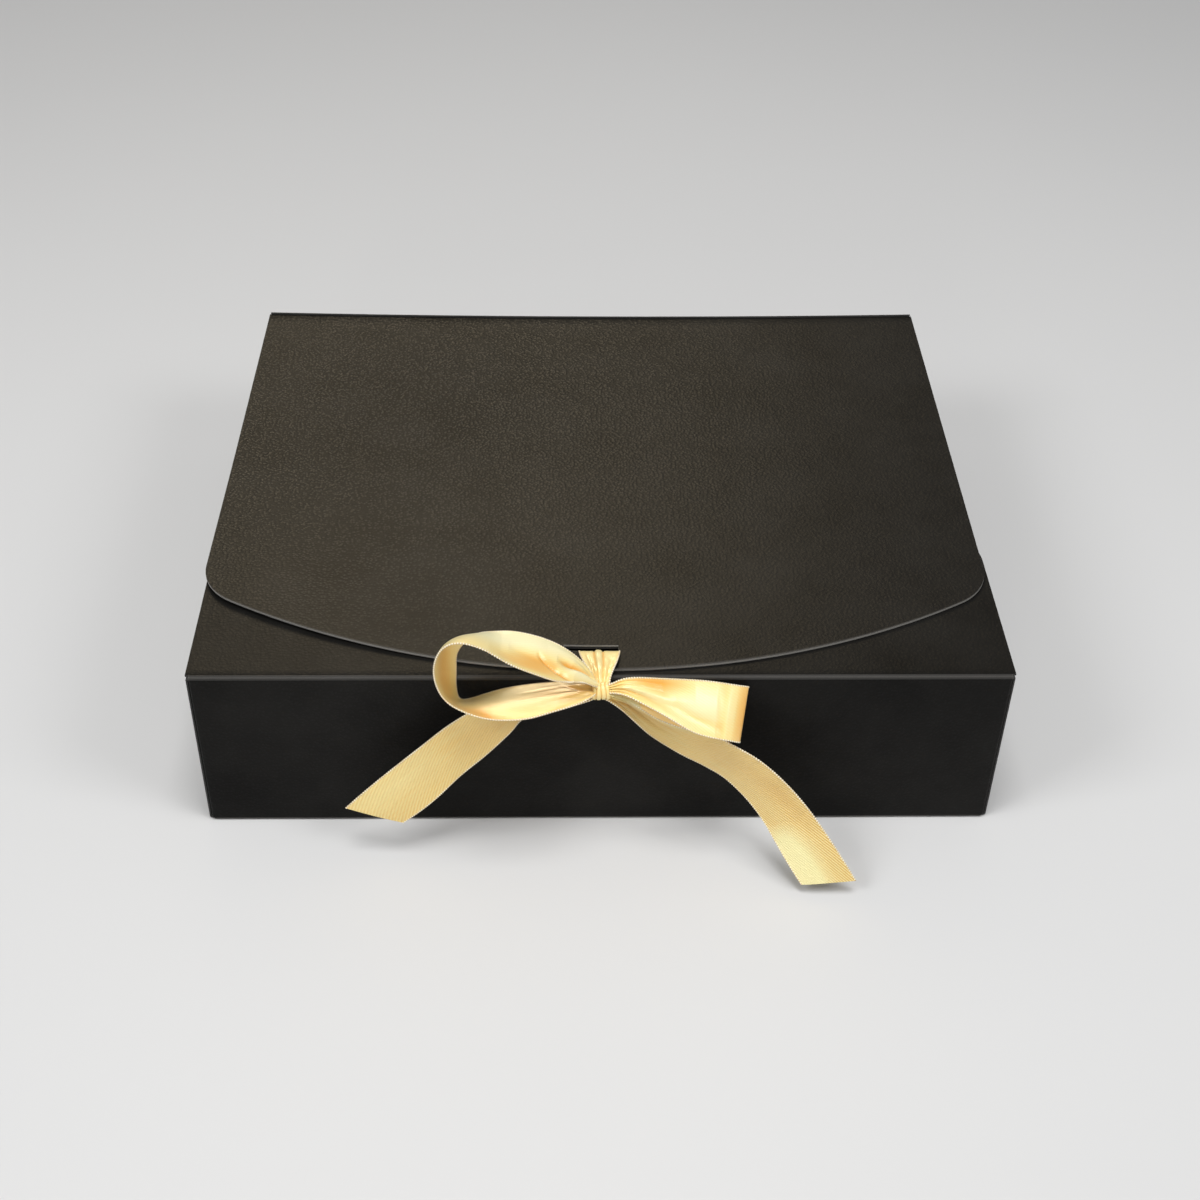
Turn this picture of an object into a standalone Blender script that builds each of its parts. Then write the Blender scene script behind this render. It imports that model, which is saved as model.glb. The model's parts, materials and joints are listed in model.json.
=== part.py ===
"""Fold-flat gift box with a hinged lid, held shut by a ribbon tied in a bow.

Frame: origin at the centre of the underside, +X to the right seen from the
front, +Y to the back, +Z up, all lengths in metres.

The carton is creased board. Each panel between creases is its own solid, and a
crease is left as a narrow gap with the hinge axis in it:

    base        the panel the box stands on, slotted for the lock tabs
    walls       front and back walls stand on the base, single board
    sides       outer wall, top rim and inner wall, rolled over the corner tabs
    front flap  hinged along the top of the front wall, lies under the lid
    lid         hinged along the top of the back wall, curved front edge

The ribbon enters the slots in lid and flap, passes over the lid's front edge
and is tied in front of the wall: strap, knot, two loops and two tails.
"""
import math

import bmesh
import bpy
from mathutils import Matrix, Vector

# --- Driving dimensions ---------------------------------------------------
BOX_WIDTH = 0.310          # outside, left to right
BOX_DEPTH = 0.260          # outside, front to back
WALL_TOP = 0.0760          # underside to the front and back creases
BOARD = 0.0008             # thickness of the board
GAP = 0.0003               # clearance between neighbouring panels

LID_TIP = 0.127            # middle of the lid's front edge, ahead of centre
LID_EDGE_RADIUS = 0.280    # radius of the lid's long front curve
LID_CORNER_RADIUS = 0.025  # radius between that curve and the lid's sides
FLAP_DEPTH = 0.090         # front crease to the free edge of the front flap
FLAP_CORNER_RADIUS = 0.020

SLOT_WIDTH = 0.0208        # ribbon slot, the same in lid and flap
SLOT_DEPTH = 0.0032
SLOT_CENTRE = (-0.0029, -0.1148)

TAB_LENGTH = 0.050         # corner tab, along the side wall
TAB_HEIGHT = 0.070
TAB_CHAMFER = 0.008
LOCK_WIDTH = 0.020         # lock tab under the inner side wall
LOCK_OFFSET = 0.065        # lock tab centre, from the middle of the side
LOCK_PLAY = 0.0008         # extra length of a lock slot at each end
LOCK_FOOT = 0.0001         # a lock tab's tip, above the underside

RIBBON_WIDTH = 0.020
RIBBON_THICKNESS = 0.0005
KNOT_CENTRE = (-0.0009, -0.1373, 0.0758)
KNOT_SIZE = (0.0070, 0.0055, 0.0065)
KNOT_TILT = math.radians(40)     # the knot leans back against the edge
KNOT_BEVEL = 0.0017
BOW_AXIS = (-0.0009, -0.1290, 0.0780)    # bend of the strap over the lid's edge

ARC_STEPS = 24             # segments of the long curve, half as many at corners
SPLINE_STEPS = 6           # segments between two ribbon stations

# --- Values worked out from them ------------------------------------------
HALF_WIDTH = BOX_WIDTH / 2
HALF_DEPTH = BOX_DEPTH / 2
FLAP_TOP = WALL_TOP
FLAP_BOTTOM = FLAP_TOP - BOARD
LID_BOTTOM = WALL_TOP + GAP
LID_TOP = LID_BOTTOM + BOARD
RIM_TOP = FLAP_BOTTOM - GAP
SIDE_TOP = RIM_TOP - BOARD - GAP
FRONT_WALL_TOP = FLAP_BOTTOM - GAP
FLAP_AXIS_Z = (FRONT_WALL_TOP + FLAP_BOTTOM) / 2
LID_AXIS_Z = (WALL_TOP + LID_BOTTOM) / 2
LAYER = BOARD + GAP        # one board of the side wall and its clearance
TAB_FOOT = 2 * BOARD

CARD_COLOUR = (0.030, 0.028, 0.025, 1)
CARD_ROUGHNESS = 0.55
SATIN_COLOUR = (0.78, 0.52, 0.16, 1)
SATIN_ROUGHNESS = 0.35
SHARP_ANGLE = math.radians(40)   # steeper edges of a ribbon are shaded sharp


# --- Materials and helpers ------------------------------------------------
def make_material(name, colour, roughness):
    material = bpy.data.materials.new(name)
    material.use_nodes = True
    shader = material.node_tree.nodes["Principled BSDF"]
    shader.inputs["Base Color"].default_value = colour
    shader.inputs["Roughness"].default_value = roughness
    return material


def add_object(name, bm, material, parent=None, origin=(0, 0, 0)):
    """Turn world-space geometry into an object whose origin is at origin."""
    bmesh.ops.recalc_face_normals(bm, faces=bm.faces)
    bmesh.ops.translate(bm, verts=bm.verts, vec=-Vector(origin))
    mesh = bpy.data.meshes.new(name)
    bm.to_mesh(mesh)
    bm.free()
    mesh.materials.append(material)
    part = bpy.data.objects.new(name, mesh)
    bpy.context.scene.collection.objects.link(part)
    part.location = origin
    if parent is not None:
        part.parent = parent
        part.matrix_parent_inverse = Matrix.Translation(-parent.location)
    return part


def add_pivot(name, location, parent=None):
    """An empty on a joint's axis, which carries the body that turns there."""
    pivot = bpy.data.objects.new(name, None)
    bpy.context.scene.collection.objects.link(pivot)
    pivot.empty_display_size = 0.02
    pivot.location = location
    if parent is not None:
        pivot.parent = parent
        pivot.matrix_parent_inverse = Matrix.Translation(-parent.location)
    return pivot


def block(low, high):
    """A box between two corners."""
    bm = bmesh.new()
    bmesh.ops.create_cube(bm, size=1)
    size = Vector(high) - Vector(low)
    bmesh.ops.scale(bm, verts=bm.verts, vec=size)
    bmesh.ops.translate(bm, verts=bm.verts, vec=(Vector(low) + Vector(high)) / 2)
    return bm


def plate(outline, thickness):
    """A closed sheet: the outline's polygon, pushed out by a thickness vector."""
    bm = bmesh.new()
    face = bm.faces.new([bm.verts.new(point) for point in outline])
    swept = bmesh.ops.extrude_face_region(bm, geom=[face])
    moved = [item for item in swept["geom"] if isinstance(item, bmesh.types.BMVert)]
    bmesh.ops.translate(bm, verts=moved, vec=thickness)
    return bm


def arc(centre, radius, start, end, steps):
    """Points on a circle, angles in radians from +X towards +Y."""
    angles = [start + (end - start) * i / steps for i in range(steps + 1)]
    return [
        (centre[0] + radius * math.cos(a), centre[1] + radius * math.sin(a))
        for a in angles
    ]


def cut_box(part, name, low, high):
    """Cut a rectangular opening through a part."""
    mesh = bpy.data.meshes.new(name)
    bm = block(low, high)
    bm.to_mesh(mesh)
    bm.free()
    cutter = bpy.data.objects.new(name, mesh)
    bpy.context.scene.collection.objects.link(cutter)
    cutter.hide_render = True
    cutter.display_type = "WIRE"
    modifier = part.modifiers.new(name, "BOOLEAN")
    modifier.operation = "DIFFERENCE"
    modifier.object = cutter


def cut_ribbon_slot(part, name):
    low = (SLOT_CENTRE[0] - SLOT_WIDTH / 2, SLOT_CENTRE[1] - SLOT_DEPTH / 2, FLAP_BOTTOM - GAP)
    high = (SLOT_CENTRE[0] + SLOT_WIDTH / 2, SLOT_CENTRE[1] + SLOT_DEPTH / 2, LID_TOP + GAP)
    cut_box(part, name, low, high)


# --- Carton ---------------------------------------------------------------
def inner_wall_span():
    """Inner and outer faces of the inner side wall, as distances from centre."""
    outer = HALF_WIDTH - 2 * LAYER
    return outer - BOARD, outer


def build_base(card):
    inset_x = HALF_WIDTH - LAYER
    inset_y = HALF_DEPTH - LAYER
    base = add_object("base_panel", block((-inset_x, -inset_y, 0), (inset_x, inset_y, BOARD)), card)
    inner, outer = inner_wall_span()
    half_slot = LOCK_WIDTH / 2 + LOCK_PLAY
    for side, side_name in ((-1, "left"), (1, "right")):
        xs = sorted((side * (inner - GAP), side * (outer + GAP)))
        for end, end_name in ((-1, "front"), (1, "back")):
            middle = end * LOCK_OFFSET
            low = (xs[0], middle - half_slot, -BOARD)
            high = (xs[1], middle + half_slot, 2 * BOARD)
            cut_box(base, f"lock_slot_{end_name}_{side_name}", low, high)


def build_end_walls(card):
    front_low = (-HALF_WIDTH, -HALF_DEPTH, 0)
    front_high = (HALF_WIDTH, -HALF_DEPTH + BOARD, FRONT_WALL_TOP)
    add_object("front_wall", block(front_low, front_high), card)
    back_low = (-HALF_WIDTH, HALF_DEPTH - BOARD, 0)
    back_high = (HALF_WIDTH, HALF_DEPTH, WALL_TOP)
    add_object("back_wall", block(back_low, back_high), card)


def build_side(side, side_name, card):
    """Outer wall, top rim and inner wall of one side, rolled over."""
    reach = HALF_DEPTH - LAYER
    outer_xs = sorted((side * HALF_WIDTH, side * (HALF_WIDTH - BOARD)))
    add_object(
        f"{side_name}_outer_wall",
        block((outer_xs[0], -reach, 0), (outer_xs[1], reach, SIDE_TOP)),
        card,
    )
    inner, outer = inner_wall_span()
    rim_xs = sorted((side * HALF_WIDTH, side * inner))
    add_object(
        f"{side_name}_rim",
        block((rim_xs[0], -reach, RIM_TOP - BOARD), (rim_xs[1], reach, RIM_TOP)),
        card,
    )
    half_lock = LOCK_WIDTH / 2
    outline = [(side * inner, -reach, LAYER)]
    for middle in (-LOCK_OFFSET, LOCK_OFFSET):
        outline += [
            (side * inner, middle - half_lock, LAYER),
            (side * inner, middle - half_lock, LOCK_FOOT),
            (side * inner, middle + half_lock, LOCK_FOOT),
            (side * inner, middle + half_lock, LAYER),
        ]
    outline += [
        (side * inner, reach, LAYER),
        (side * inner, reach, SIDE_TOP),
        (side * inner, -reach, SIDE_TOP),
    ]
    add_object(f"{side_name}_inner_wall", plate(outline, (side * BOARD, 0, 0)), card)


def build_corner_tab(side, side_name, end, end_name, card):
    """Tab on the edge of an end wall, folded in between the side's two boards."""
    face = side * (HALF_WIDTH - LAYER)
    root = end * (HALF_DEPTH - LAYER)
    tip = end * (HALF_DEPTH - LAYER - TAB_LENGTH)
    slant = tip + end * TAB_CHAMFER
    outline = [
        (face, root, TAB_FOOT),
        (face, slant, TAB_FOOT),
        (face, tip, TAB_FOOT + TAB_CHAMFER),
        (face, tip, TAB_HEIGHT - TAB_CHAMFER),
        (face, slant, TAB_HEIGHT),
        (face, root, TAB_HEIGHT),
    ]
    name = f"{end_name}_{side_name}_corner_tab"
    add_object(name, plate(outline, (-side * BOARD, 0, 0)), card)


def lid_outline():
    """Straight back and sides, long front curve and two corner curves."""
    centre_y = LID_EDGE_RADIUS - LID_TIP
    corner_x = HALF_WIDTH - LID_CORNER_RADIUS
    reach = LID_EDGE_RADIUS - LID_CORNER_RADIUS
    corner_y = centre_y - math.sqrt(reach ** 2 - corner_x ** 2)
    meeting = math.atan2(corner_y - centre_y, corner_x)
    down = -math.pi / 2
    corner = arc((corner_x, corner_y), LID_CORNER_RADIUS, 0, meeting, ARC_STEPS // 2)
    half_front = arc((0, centre_y), LID_EDGE_RADIUS, meeting, down, ARC_STEPS // 2)
    right = [(HALF_WIDTH, HALF_DEPTH)] + corner + half_front[1:]
    left = [(-x, y) for x, y in reversed(right[:-1])]
    return right + left


def build_lid(card, pivot):
    outline = [(x, y, LID_BOTTOM) for x, y in lid_outline()]
    lid = add_object("lid_panel", plate(outline, (0, 0, BOARD)), card, pivot, pivot.location)
    cut_ribbon_slot(lid, "lid_ribbon_slot")


def build_flap(card, pivot):
    back_y = FLAP_DEPTH - HALF_DEPTH
    corner_x = HALF_WIDTH - FLAP_CORNER_RADIUS
    corner_y = back_y - FLAP_CORNER_RADIUS
    corner = arc((corner_x, corner_y), FLAP_CORNER_RADIUS, 0, math.pi / 2, ARC_STEPS // 2)
    right = [(HALF_WIDTH, -HALF_DEPTH)] + corner
    left = [(-x, y) for x, y in reversed(right)]
    outline = [(x, y, FLAP_BOTTOM) for x, y in right + left]
    flap = add_object("front_flap", plate(outline, (0, 0, BOARD)), card, pivot, pivot.location)
    cut_ribbon_slot(flap, "flap_ribbon_slot")


# --- Ribbon ---------------------------------------------------------------
# A station is the ribbon's centre, the direction across it, and its width
# there. It is gathered narrow at the knot and opens out to its full width.
STRAP = [
    ((-0.0009, -0.1344, 0.0787), (1.0, 0.0, 0.0), 0.0064),
    ((-0.0009, -0.1300, 0.0796), (1.0, 0.0, 0.0), 0.0090),
    ((-0.0010, -0.1240, 0.0787), (1.0, 0.0, 0.0), 0.0125),
    ((-0.0011, -0.1185, 0.0779), (1.0, 0.0, 0.0), 0.0150),
    ((-0.0011, -0.1162, 0.0777), (1.0, 0.0, 0.0), 0.0150),
    ((-0.0011, -0.1155, 0.0762), (1.0, 0.0, 0.0), 0.0150),
    ((-0.0011, -0.1155, 0.0735), (1.0, 0.0, 0.0), 0.0150),
]
LEFT_LOOP = [
    ((-0.0050, -0.1364, 0.0769), (0.0, -0.8, 0.6), 0.005),
    ((-0.0082, -0.1365, 0.0835), (0.1, -0.9, -0.2), 0.010),
    ((-0.0155, -0.1380, 0.0913), (0.1, -1.0, -0.2), 0.016),
    ((-0.0235, -0.1400, 0.0962), (0.0, -1.0, 0.0), RIBBON_WIDTH),
    ((-0.0340, -0.1410, 0.1010), (-0.15, -1.0, 0.2), RIBBON_WIDTH),
    ((-0.0450, -0.1410, 0.1040), (-0.25, -0.9, 0.4), RIBBON_WIDTH),
    ((-0.0540, -0.1420, 0.1000), (-0.4, -0.75, 0.5), RIBBON_WIDTH),
    ((-0.0573, -0.1420, 0.0890), (-0.35, -0.7, 0.6), RIBBON_WIDTH),
    ((-0.0560, -0.1420, 0.0785), (-0.35, -0.7, 0.6), RIBBON_WIDTH),
    ((-0.0490, -0.1415, 0.0745), (-0.35, -0.85, 0.4), RIBBON_WIDTH),
    ((-0.0380, -0.1410, 0.0731), (-0.15, -1.0, 0.2), RIBBON_WIDTH),
    ((-0.0280, -0.1400, 0.0735), (0.1, -1.0, 0.1), 0.019),
    ((-0.0185, -0.1390, 0.0750), (0.3, -0.95, 0.1), 0.015),
    ((-0.0095, -0.1382, 0.0745), (0.2, -0.95, 0.2), 0.008),
    ((-0.0050, -0.1381, 0.0749), (0.0, -0.8, 0.6), 0.005),
]
RIGHT_LOOP = [
    ((0.0032, -0.1382, 0.0766), (0.0, -0.65, -0.75), 0.006),
    ((0.0160, -0.1400, 0.0768), (-0.15, -0.6, -0.8), 0.012),
    ((0.0290, -0.1410, 0.0724), (-0.2, -0.6, -0.8), 0.019),
    ((0.0400, -0.1410, 0.0698), (-0.25, -0.6, -0.75), RIBBON_WIDTH),
    ((0.0505, -0.1395, 0.0655), (-0.15, -0.6, -0.75), RIBBON_WIDTH),
    ((0.0535, -0.1365, 0.0645), (-0.15, -0.5, -0.85), RIBBON_WIDTH),
    ((0.0480, -0.1345, 0.0650), (-0.1, -0.25, -0.95), RIBBON_WIDTH),
    ((0.0340, -0.1345, 0.0655), (-0.1, -0.2, -1.0), 0.018),
    ((0.0160, -0.1355, 0.0700), (-0.1, -0.4, -0.9), 0.011),
    ((0.0032, -0.1364, 0.0750), (0.0, -0.65, -0.75), 0.006),
]
LEFT_TAIL = [
    ((-0.0027, -0.1402, 0.0710), (0.2, -0.3, -0.9), 0.003),
    ((-0.0120, -0.1398, 0.0705), (0.2, -0.3, -0.9), 0.004),
    ((-0.0225, -0.1402, 0.0697), (0.2, -0.3, -0.9), 0.005),
    ((-0.0330, -0.1410, 0.0672), (0.5, -0.2, -0.85), 0.009),
    ((-0.0435, -0.1420, 0.0610), (0.7, -0.05, -0.7), RIBBON_WIDTH),
    ((-0.0576, -0.1430, 0.0463), (0.7, -0.05, -0.7), RIBBON_WIDTH),
    ((-0.0700, -0.1440, 0.0345), (0.75, -0.05, -0.65), RIBBON_WIDTH),
    ((-0.0870, -0.1460, 0.0190), (0.95, -0.1, -0.3), 0.0225),
]
RIGHT_TAIL = [
    ((0.0012, -0.1402, 0.0710), (0.2, -0.35, 0.9), 0.003),
    ((0.0110, -0.1392, 0.0660), (0.2, -0.35, 0.9), 0.010),
    ((0.0260, -0.1390, 0.0562), (0.2, -0.35, 0.9), 0.018),
    ((0.0420, -0.1404, 0.0468), (0.45, -0.35, 0.8), RIBBON_WIDTH),
    ((0.0550, -0.1450, 0.0400), (0.65, -0.3, 0.7), RIBBON_WIDTH),
    ((0.0690, -0.1530, 0.0275), (0.8, -0.25, 0.5), RIBBON_WIDTH),
    ((0.0865, -0.1690, 0.0055), (1.0, -0.05, 0.15), 0.0205),
]


def spline(points, steps):
    """Catmull-Rom curve through the points, as vectors."""
    vectors = [Vector(point) for point in points]
    ends = [2 * vectors[0] - vectors[1]] + vectors + [2 * vectors[-1] - vectors[-2]]
    curve = []
    for before, start, end, after in zip(ends, ends[1:], ends[2:], ends[3:]):
        for i in range(steps):
            t = i / steps
            curve.append(
                0.5 * (
                    2 * start
                    + (end - before) * t
                    + (2 * before - 5 * start + 4 * end - after) * t ** 2
                    + (3 * start - before - 3 * end + after) * t ** 3
                )
            )
    return curve + [vectors[-1]]


def ribbon_band(stations):
    """A closed strip of constant thickness along the stations."""
    centres = spline([station[0] for station in stations], SPLINE_STEPS)
    sides = spline([Vector(side).normalized() * width for _, side, width in stations], SPLINE_STEPS)
    bm = bmesh.new()
    rings = []
    last = len(centres) - 1
    for i, (centre, side) in enumerate(zip(centres, sides)):
        along = centres[min(i + 1, last)] - centres[max(i - 1, 0)]
        lift = along.cross(side).normalized() * RIBBON_THICKNESS / 2
        corners = (-side / 2 - lift, side / 2 - lift, side / 2 + lift, -side / 2 + lift)
        rings.append([bm.verts.new(centre + corner) for corner in corners])
    for ring, following in zip(rings, rings[1:]):
        for i in range(4):
            j = (i + 1) % 4
            bm.faces.new((ring[i], ring[j], following[j], following[i]))
    bm.faces.new(rings[0])
    bm.faces.new(rings[-1])
    return bm


def build_knot(satin, pivot):
    bm = bmesh.new()
    bmesh.ops.create_cube(bm, size=1)
    bmesh.ops.scale(bm, verts=bm.verts, vec=KNOT_SIZE)
    tilt = Matrix.Rotation(-KNOT_TILT, 3, "X")
    bmesh.ops.rotate(bm, verts=bm.verts, cent=(0, 0, 0), matrix=tilt)
    bmesh.ops.translate(bm, verts=bm.verts, vec=KNOT_CENTRE)
    knot = add_object("bow_knot", bm, satin, pivot, KNOT_CENTRE)
    bevel = knot.modifiers.new("rounding", "BEVEL")
    bevel.width = KNOT_BEVEL
    bevel.segments = 4
    knot.data.shade_smooth()


def build_ribbon(satin, strap_pivot, bow_pivot):
    pieces = (
        ("ribbon_strap", STRAP, strap_pivot),
        ("left_loop", LEFT_LOOP, bow_pivot),
        ("right_loop", RIGHT_LOOP, bow_pivot),
        ("left_tail", LEFT_TAIL, bow_pivot),
        ("right_tail", RIGHT_TAIL, bow_pivot),
    )
    for name, stations, pivot in pieces:
        band = add_object(name, ribbon_band(stations), satin, pivot, pivot.location)
        band.data.shade_smooth()
        band.data.set_sharp_from_angle(angle=SHARP_ANGLE)
    build_knot(satin, bow_pivot)


# --- Assembly -------------------------------------------------------------
def clear_scene():
    for item in list(bpy.data.objects):
        bpy.data.objects.remove(item, do_unlink=True)


def main():
    clear_scene()
    card = make_material("black_board", CARD_COLOUR, CARD_ROUGHNESS)
    satin = make_material("gold_satin", SATIN_COLOUR, SATIN_ROUGHNESS)

    build_base(card)
    build_end_walls(card)
    for side, side_name in ((-1, "left"), (1, "right")):
        build_side(side, side_name, card)
        for end, end_name in ((-1, "front"), (1, "back")):
            build_corner_tab(side, side_name, end, end_name, card)

    lid_pivot = add_pivot("lid_pivot", (0, HALF_DEPTH, LID_AXIS_Z))
    flap_pivot = add_pivot("flap_pivot", (0, -HALF_DEPTH, FLAP_AXIS_Z))
    strap_pivot = add_pivot("strap_pivot", (*SLOT_CENTRE, LID_TOP), lid_pivot)
    bow_pivot = add_pivot("bow_pivot", BOW_AXIS, strap_pivot)
    build_lid(card, lid_pivot)
    build_flap(card, flap_pivot)
    build_ribbon(satin, strap_pivot, bow_pivot)


main()
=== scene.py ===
"""Looks of the fold-flat gift box and its satin bow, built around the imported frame.

The board is made as bent sheets: an embossed outside, a smooth inside and a grey
cut edge, with the creases as their own strips so that lid and flap can fold. The
ribbon is one satin band with pleats gathered at the knot and beaded selvedges.
Shapes are worked out in mm; joints, materials, lights and the camera use metres.
"""
import json
import math

import bmesh
import bpy
import numpy as np
from mathutils import Matrix, Vector


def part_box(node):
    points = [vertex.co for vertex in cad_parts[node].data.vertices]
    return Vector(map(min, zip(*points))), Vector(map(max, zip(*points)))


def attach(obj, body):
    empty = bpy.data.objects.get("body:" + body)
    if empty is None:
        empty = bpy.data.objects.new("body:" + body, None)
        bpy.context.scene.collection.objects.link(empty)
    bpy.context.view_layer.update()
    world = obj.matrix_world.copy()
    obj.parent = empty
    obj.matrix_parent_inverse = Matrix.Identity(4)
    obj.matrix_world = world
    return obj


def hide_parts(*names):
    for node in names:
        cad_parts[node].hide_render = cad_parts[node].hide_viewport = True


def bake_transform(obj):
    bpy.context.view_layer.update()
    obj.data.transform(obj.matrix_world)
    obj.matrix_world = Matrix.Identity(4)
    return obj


MM = 0.001

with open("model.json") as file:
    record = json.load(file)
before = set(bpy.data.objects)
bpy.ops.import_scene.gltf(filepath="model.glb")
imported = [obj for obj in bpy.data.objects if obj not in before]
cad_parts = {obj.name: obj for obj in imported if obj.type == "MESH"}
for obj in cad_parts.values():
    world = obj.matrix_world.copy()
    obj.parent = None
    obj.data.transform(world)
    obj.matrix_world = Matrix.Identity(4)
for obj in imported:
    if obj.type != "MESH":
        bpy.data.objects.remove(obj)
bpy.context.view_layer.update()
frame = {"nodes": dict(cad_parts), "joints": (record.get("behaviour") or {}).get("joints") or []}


def box_mm(node):
    """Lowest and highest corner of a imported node, in mm."""
    low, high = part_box(node)
    return np.array(low) / MM, np.array(high) / MM


# --- Board sizes, from the frame ---
WALL_LOW, WALL_HIGH = box_mm("front_wall")
LID_LOW, LID_HIGH = box_mm("lid_panel")
KNOT_LOW, KNOT_HIGH = box_mm("bow_knot")
INNER_LOW = box_mm("right_inner_wall")[0]
BACK_HIGH, FLAP_HIGH, RIM_HIGH, BASE_HIGH, TAB_HIGH, OUTER_HIGH = (
    box_mm(node)[1]
    for node in (
        "back_wall", "front_flap", "right_rim", "base_panel", "front_right_corner_tab",
        "right_outer_wall",
    )
)

BOARD_MM = LID_HIGH[2] - LID_LOW[2]
HALF_WIDTH_MM = WALL_HIGH[0]
FRONT_Y_MM = WALL_LOW[1]
BACK_Y_MM = BACK_HIGH[1]
FLAP_FREE_Y_MM = FLAP_HIGH[1]
CREASE_RADIUS_MM = 1.2        # outside of a crease between two panels
FLAP_CREASE_RADIUS_MM = 1.4
BASE_CREASE_RADIUS_MM = 1.1
LID_CORNER_RADIUS_MM = 25.0
LID_CURVE_RADIUS_MM = 280.0
FLAP_CORNER_RADIUS_MM = 20.0
LOCK_TAB_MM = 20.0            # width of a lock tab, and its place along the side
LOCK_OFFSET_MM = 65.0
SLOT_HALF_MM = (10.4, 1.6)    # half the ribbon slot, across and front to back
SLOT_CENTRE_MM = (-2.9, -114.8)
EDGE_BEVEL_MM = 0.12
BORDER_MM = 0.5               # band along a cut edge where the coating is rubbed and painted lighter as a highlight
RIM_BORDER_MM = 0.12          # the same along the sides of the lid and the flap
EDGE_SHARE = 0.985            # how near a curved free edge its last inner row lies
LID_TURN_MM = -40.0           # from here the rows fan out to the curved free edge
FLAP_TURN_MM = FLAP_FREE_Y_MM - 30
CREASE_COLUMNS = 60           # columns along a crease, without its two ends
BASE_CREASE_INSET_MM = 1.0    # a crease's ends stop short of the panels' ends
LID_CREASE_INSET_MM = 0.5
FLAP_CREASE_INSET_MM = 1.2
BASE_CREASE_WEAR_AND_HIGHLIGHT = 0.8        # how bare the coating is along the ridge of a crease, also a painted highlight there
LID_CREASE_WEAR_AND_HIGHLIGHT = 0.35
FLAP_CREASE_WEAR_AND_HIGHLIGHT = 0.45
SLOT_WEAR_AND_HIGHLIGHT = 0.45

# How the board has moved from its flat, straight shape.
BACK_BOW_MM = 1.3             # the back wall's middle leans in, and dips
BACK_DIP_MM = 0.8
CORNER_LIFT_MM = 1.3          # the lid's front left corner stands up
LID_SKEW_MM = 1.4             # the lid's front sits a little to the left
LID_RIPPLE_MM = 0.15
RIPPLE_LENGTHS_MM = (41, 57)  # across and front to back, for one radian

# --- Ribbon ---
RIBBON_MM = 20.0              # width of the woven band
RIBBON_THICK_MM = 0.28
PICOT_PITCH_MM = 1.0          # spacing of the beads along a selvedge
SELVEDGE_RADIUS_MM = 0.15
PICOT_HEIGHT_MM = 0.22
KNOT_CENTRE_MM = (KNOT_LOW + KNOT_HIGH) / 2
W = RIBBON_MM                 # short form for the tables of stations


# --- Mesh helpers ---
def grid_mesh(name, points, uv, keep=None, wrap=(False, False)):
    """Quads over a grid of points in mm; faces look along rows x columns."""
    rows, columns = points.shape[:2]
    i, j = np.meshgrid(
        np.arange(rows if wrap[0] else rows - 1),
        np.arange(columns if wrap[1] else columns - 1),
        indexing="ij",
    )
    if keep is not None:
        i, j = i[keep], j[keep]
    i, j = i.ravel(), j.ravel()
    corner_i = np.stack([i, i + 1, i + 1, i], -1)
    corner_j = np.stack([j, j, j + 1, j + 1], -1)
    faces = (corner_i % rows) * columns + corner_j % columns
    mesh = bpy.data.meshes.new(name)
    mesh.from_pydata((points.reshape(-1, 3) * MM).tolist(), [], faces.tolist())
    layer = mesh.uv_layers.new(name="metres")
    layer.data.foreach_set("uv", (uv[corner_i, corner_j] * MM).astype(np.float32).ravel())
    return mesh


def set_attribute(mesh, name, values):
    attribute = mesh.attributes.new(name, "FLOAT", "POINT")
    attribute.data.foreach_set("value", np.asarray(values, np.float32).ravel())


def edit_mesh(mesh, change):
    bm = bmesh.new()
    bm.from_mesh(mesh)
    change(bm)
    bm.to_mesh(mesh)
    bm.free()


def drop_loose(bm):
    """Delete the points that a hole has left without a face."""
    loose = [v for v in bm.verts if not v.link_faces]
    bmesh.ops.delete(bm, geom=loose, context="VERTS")


def face_outwards(bm):
    bmesh.ops.recalc_face_normals(bm, faces=bm.faces)


def new_object(name, data):
    made = bpy.data.objects.new(name, data)
    bpy.context.scene.collection.objects.link(made)
    return made


def add_piece(name, mesh, materials):
    for material in materials:
        mesh.materials.append(material)
    mesh.shade_smooth()
    return new_object(name, mesh)


def thicken(piece, thickness_mm, offset, back_slot, rim_slot, bevel_mm=0.0):
    """Give a sheet its thickness, then keep the result as its mesh."""
    solid = piece.modifiers.new("thickness", "SOLIDIFY")
    solid.thickness = thickness_mm * MM
    solid.offset = offset
    solid.use_even_offset = True
    solid.material_offset = back_slot
    solid.material_offset_rim = rim_slot
    if bevel_mm:
        bevel = piece.modifiers.new("edge", "BEVEL")
        bevel.width = bevel_mm * MM
        bevel.segments = 2
        bevel.limit_method = "ANGLE"
        bevel.angle_limit = math.radians(60)
    bake(piece)
    piece.data.set_sharp_from_angle(angle=math.radians(50))


def bake(piece):
    """Keep a piece's modified shape as its mesh."""
    graph = bpy.context.evaluated_depsgraph_get()
    final = bpy.data.meshes.new_from_object(
        piece.evaluated_get(graph), preserve_all_data_layers=True, depsgraph=graph
    )
    piece.modifiers.clear()
    piece.data = final


def smoothstep(value, start, end):
    t = np.clip((value - start) / (end - start), 0, 1)
    return t * t * (3 - 2 * t)


# --- Node helpers ---
def new_material(name):
    material = bpy.data.materials.new(name)
    material.use_nodes = True
    tree = material.node_tree
    return material, tree, tree.nodes["Principled BSDF"]


def set_inputs(tree, node, inputs):
    """Give each of these inputs its value or its link."""
    for key, value in inputs.items():
        if isinstance(value, bpy.types.NodeSocket):
            tree.links.new(value, node.inputs[key])
        else:
            node.inputs[key].default_value = value


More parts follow.
